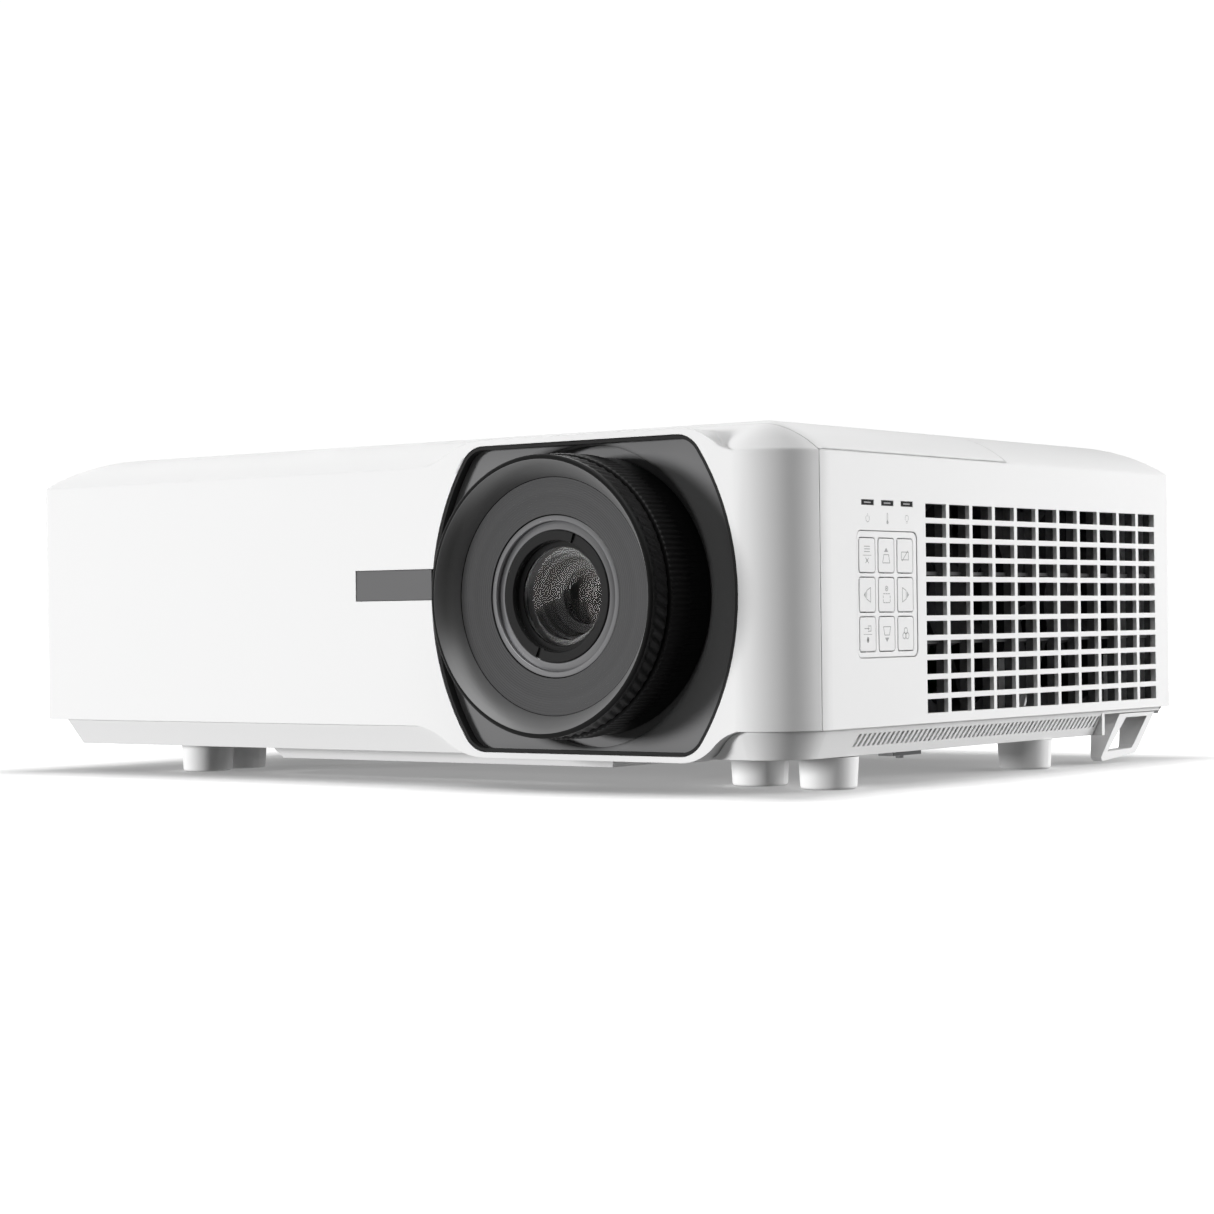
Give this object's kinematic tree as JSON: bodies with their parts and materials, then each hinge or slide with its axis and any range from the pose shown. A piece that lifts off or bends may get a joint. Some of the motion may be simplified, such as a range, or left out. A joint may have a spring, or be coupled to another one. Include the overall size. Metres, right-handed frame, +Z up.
{
  "type": "projector",
  "caption": "Large-room laser projector with a turning zoom lens, lens-shift dials under a lid, key panel, side grilles and height-adjustable front feet.",
  "frame": {"origin": "centre of the footprint on the surface that the feet stand on", "axes": "+X towards the key panel side, the lens faces -Y, +Z up"},
  "size_m": [0.405, 0.33, 0.1405],
  "materials": {
    "shell_white": "fine moulded texture, satin",
    "panel_grey": "fine texture",
    "grille_dark": "matte",
    "plate_black": "fine grain, matte",
    "ir_grey": "smoked, satin",
    "window_black": "gloss",
    "bezel_white": "fine moulded texture, satin",
    "key_white": "fine moulded texture, satin, grey symbols",
    "board_green": "solder mask",
    "ring_black": "moulded grip, matte",
    "barrel_black": "black anodised",
    "trim_grey": "fine concentric turning marks",
    "ring_silver": "turned, bright",
    "retainer_black": "black anodised",
    "lens_glass": "coated, clear",
    "frame_alloy": "die cast",
    "phosphor": "coated disc",
    "motor_grey": "satin",
    "fan_black": "matte",
    "inlet_black": "matte",
    "socket_metal": "nickel plated",
    "stud_steel": "zinc plated",
    "insert_brass": "plain"
  },
  "bodies": {
    "chassis": {"bottom_tray": "shell_white", "base_panel": "shell_white", "top_cover": "shell_white", "front_cover": "shell_white", "io_panel": "panel_grey", "inner_grille": "grille_dark", "lens_plate": "plate_black", "ir_window": "ir_grey", "led_windows": "window_black", "keypad_bezel": "bezel_white", "keypad_board": "board_green", "lens_frame": "barrel_black", "optical_block": "frame_alloy", "dmd_board": "board_green", "wheel_motor": "motor_grey", "laser_bank": "frame_alloy", "heatsink": "frame_alloy", "fan_frames": "fan_black", "power_board": "board_green", "main_board": "board_green", "ac_inlet": "inlet_black", "video_sockets": "socket_metal", "data_sockets": "socket_metal", "fixed_feet": "shell_white", "security_bar": "shell_white", "mount_inserts": "insert_brass", "base_screws": "stud_steel"},
    "lid": {"access_lid": "shell_white"},
    "shift_carriage": {"shift_plate_v": "barrel_black"},
    "lens": {"shift_plate_h": "barrel_black", "lens_barrel": "barrel_black", "front_trim": "trim_grey"},
    "focus_grip": {"focus_ring": "ring_black"},
    "focus_group": {"focus_cell": "barrel_black", "front_glass": "lens_glass", "middle_glass": "lens_glass", "silver_ring": "ring_silver", "retainer_ring": "retainer_black"},
    "zoom_grip": {"zoom_ring": "ring_black"},
    "zoom_group": {"zoom_cell": "barrel_black", "rear_glass": "lens_glass"},
    "dial_v": {"shift_dial_v": "ring_black"},
    "dial_h": {"shift_dial_h": "ring_black"},
    "stud_right": {"foot_stud_right": "stud_steel"},
    "cup_right": {"foot_cup_right": "shell_white"},
    "stud_left": {"foot_stud_left": "stud_steel"},
    "cup_left": {"foot_cup_left": "shell_white"},
    "colour_wheel": {"phosphor_wheel": "phosphor"},
    "rotor_front": {"fan_rotor_front": "fan_black"},
    "rotor_rear": {"fan_rotor_rear": "fan_black"},
    "rotor_intake": {"fan_rotor_intake": "fan_black"},
    "key_menu": {"key_menu": "key_white"},
    "key_up": {"key_up": "key_white"},
    "key_blank": {"key_blank": "key_white"},
    "key_left": {"key_left": "key_white"},
    "key_enter": {"key_enter": "key_white"},
    "key_right": {"key_right": "key_white"},
    "key_source": {"key_source": "key_white"},
    "key_down": {"key_down": "key_white"},
    "key_mode": {"key_mode": "key_white"}
  },
  "joints": [
    {"name": "lid_hinge", "type": "hinge", "parent": "chassis", "child": "lid", "pos_m": [0.1, 0.0192, 0.1405], "axis": [-1, 0, 0], "range_deg": [0, 60]},
    {"name": "lens_shift_v", "type": "slide", "parent": "chassis", "child": "shift_carriage", "axis": [0, 0, 1], "range_m": [-0.003, 0.003]},
    {"name": "lens_shift_h", "type": "slide", "parent": "shift_carriage", "child": "lens", "axis": [1, 0, 0], "range_m": [-0.002, 0.002]},
    {"name": "focus_turn", "type": "hinge", "parent": "lens", "child": "focus_grip", "pos_m": [0.1033, -0.1595, 0.0746], "axis": [0, -1, 0], "range_deg": [-40, 40]},
    {"name": "focus_travel", "type": "slide", "parent": "lens", "child": "focus_group", "axis": [0, 1, 0], "range_m": [-0.0015, 0.0015]},
    {"name": "zoom_turn", "type": "hinge", "parent": "lens", "child": "zoom_grip", "pos_m": [0.1033, -0.14, 0.0746], "axis": [0, -1, 0], "range_deg": [-35, 35]},
    {"name": "zoom_travel", "type": "slide", "parent": "lens", "child": "zoom_group", "axis": [0, 1, 0], "range_m": [-0.004, 0.004]},
    {"name": "dial_v_turn", "type": "hinge", "parent": "chassis", "child": "dial_v", "pos_m": [0.036, -0.104, 0.1265], "axis": [0, 0, 1], "range_deg": [-270, 270]},
    {"name": "dial_h_turn", "type": "hinge", "parent": "shift_carriage", "child": "dial_h", "pos_m": [0.064, -0.08, 0.125], "axis": [1, 0, 0], "range_deg": [-180, 180]},
    {"name": "key_menu_press", "type": "slide", "parent": "chassis", "child": "key_menu", "axis": [-1, 0, 0], "range_m": [0, 0.0008], "stiffness_N_per_m": 1500, "springref_m": -0.0002},
    {"name": "key_up_press", "type": "slide", "parent": "chassis", "child": "key_up", "axis": [-1, 0, 0], "range_m": [0, 0.0008], "stiffness_N_per_m": 1500, "springref_m": -0.0002},
    {"name": "key_blank_press", "type": "slide", "parent": "chassis", "child": "key_blank", "axis": [-1, 0, 0], "range_m": [0, 0.0008], "stiffness_N_per_m": 1500, "springref_m": -0.0002},
    {"name": "key_left_press", "type": "slide", "parent": "chassis", "child": "key_left", "axis": [-1, 0, 0], "range_m": [0, 0.0008], "stiffness_N_per_m": 1500, "springref_m": -0.0002},
    {"name": "key_enter_press", "type": "slide", "parent": "chassis", "child": "key_enter", "axis": [-1, 0, 0], "range_m": [0, 0.0008], "stiffness_N_per_m": 1500, "springref_m": -0.0002},
    {"name": "key_right_press", "type": "slide", "parent": "chassis", "child": "key_right", "axis": [-1, 0, 0], "range_m": [0, 0.0008], "stiffness_N_per_m": 1500, "springref_m": -0.0002},
    {"name": "key_source_press", "type": "slide", "parent": "chassis", "child": "key_source", "axis": [-1, 0, 0], "range_m": [0, 0.0008], "stiffness_N_per_m": 1500, "springref_m": -0.0002},
    {"name": "key_down_press", "type": "slide", "parent": "chassis", "child": "key_down", "axis": [-1, 0, 0], "range_m": [0, 0.0008], "stiffness_N_per_m": 1500, "springref_m": -0.0002},
    {"name": "key_mode_press", "type": "slide", "parent": "chassis", "child": "key_mode", "axis": [-1, 0, 0], "range_m": [0, 0.0008], "stiffness_N_per_m": 1500, "springref_m": -0.0002},
    {"name": "foot_right_travel", "type": "slide", "parent": "chassis", "child": "stud_right", "axis": [0, 0, -1], "range_m": [0, 0.01]},
    {"name": "foot_right_turn", "type": "hinge", "parent": "stud_right", "child": "cup_right", "pos_m": [0.1845, -0.0898, 0.006], "axis": [0, 0, -1], "range_deg": [0, 3600]},
    {"name": "foot_left_travel", "type": "slide", "parent": "chassis", "child": "stud_left", "axis": [0, 0, -1], "range_m": [0, 0.01]},
    {"name": "foot_left_turn", "type": "hinge", "parent": "stud_left", "child": "cup_left", "pos_m": [-0.1363, -0.1052, 0.006], "axis": [0, 0, -1], "range_deg": [0, 3600]},
    {"name": "wheel_spin", "type": "hinge", "parent": "chassis", "child": "colour_wheel", "pos_m": [-0.016, 0.024, 0.074], "axis": [1, 0, 0], "continuous": true},
    {"name": "fan_front_spin", "type": "hinge", "parent": "chassis", "child": "rotor_front", "pos_m": [0.175, 0.001, 0.07], "axis": [1, 0, 0], "continuous": true},
    {"name": "fan_rear_spin", "type": "hinge", "parent": "chassis", "child": "rotor_rear", "pos_m": [0.175, 0.098, 0.07], "axis": [1, 0, 0], "continuous": true},
    {"name": "fan_intake_spin", "type": "hinge", "parent": "chassis", "child": "rotor_intake", "pos_m": [-0.178, 0.005, 0.07], "axis": [1, 0, 0], "continuous": true}
  ],
  "couplings": [
    {"joint": "focus_travel", "follows": "focus_turn", "m_per_rad": 0.00214},
    {"joint": "zoom_travel", "follows": "zoom_turn", "m_per_rad": 0.0065},
    {"joint": "dial_v_turn", "follows": "lens_shift_v", "rad_per_m": 1570.7},
    {"joint": "dial_h_turn", "follows": "lens_shift_h", "rad_per_m": 1570.7},
    {"joint": "foot_right_turn", "follows": "foot_right_travel", "rad_per_m": 6283.1},
    {"joint": "foot_left_turn", "follows": "foot_left_travel", "rad_per_m": 6283.1}
  ]
}
